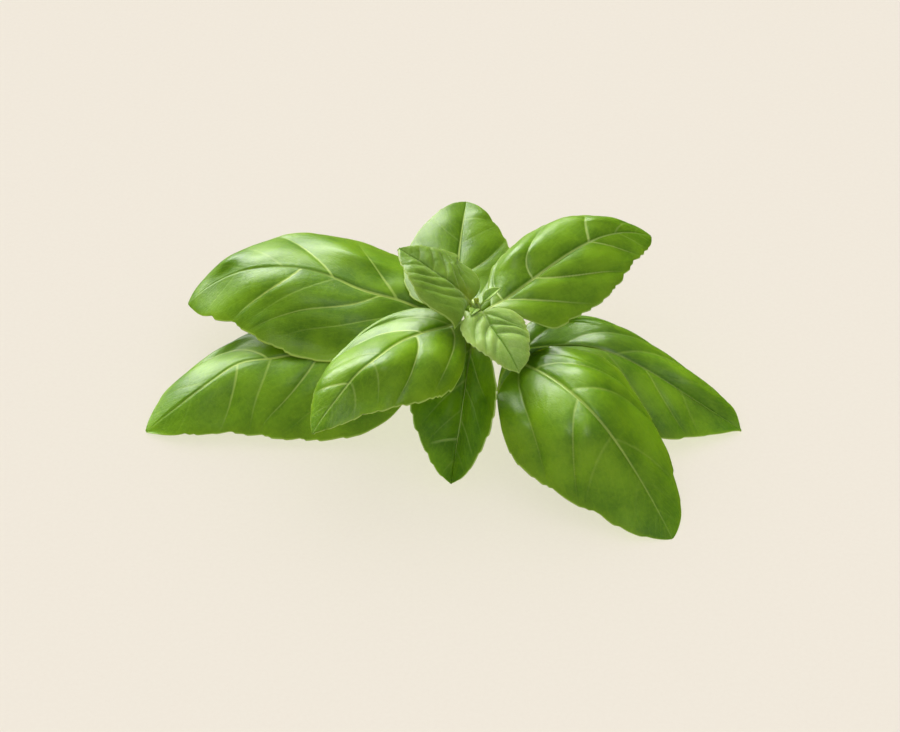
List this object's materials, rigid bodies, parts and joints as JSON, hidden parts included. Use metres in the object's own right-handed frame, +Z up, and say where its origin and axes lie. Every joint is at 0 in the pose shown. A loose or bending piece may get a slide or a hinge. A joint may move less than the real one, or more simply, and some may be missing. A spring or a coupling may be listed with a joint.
{
  "type": "basil sprig",
  "caption": "Cut sprig of fresh basil: broad, domed, glossy leaves in crossed pairs on a squarish stem that bends back and lies flat.",
  "frame": {"origin": "middle of the sprig's footprint on the surface it lies on", "axes": "+Z up from the surface; +X towards the leaves on the right, across the widest spread; +Y towards the cut end of the stem, away from the viewer"},
  "size_m": [0.1638, 0.103, 0.0547],
  "materials": {
    "leaf_mature": "glossy, waxy upper face with sunken pale veins, paler dull underside",
    "leaf_young": "satin, paler yellow-green, finely wrinkled between the veins",
    "stem": "satin, finely ridged along its length, moist pale cut end",
    "bud": "satin, soft yellow-green"
  },
  "bodies": {
    "root": {"stem": "stem", "lower_leaf_left": "leaf_mature", "lower_leaf_right": "leaf_mature", "middle_leaf_left": "leaf_mature", "middle_leaf_right": "leaf_mature", "front_leaf": "leaf_mature", "back_leaf": "leaf_mature", "upper_leaf_left": "leaf_mature", "upper_leaf_right": "leaf_mature", "inner_leaf_back": "leaf_young", "inner_leaf_front": "leaf_young", "tip_leaf_right": "leaf_young", "tip_leaf_left": "leaf_young", "terminal_bud": "bud", "axil_shoot": "leaf_young"}
  },
  "joints": []
}
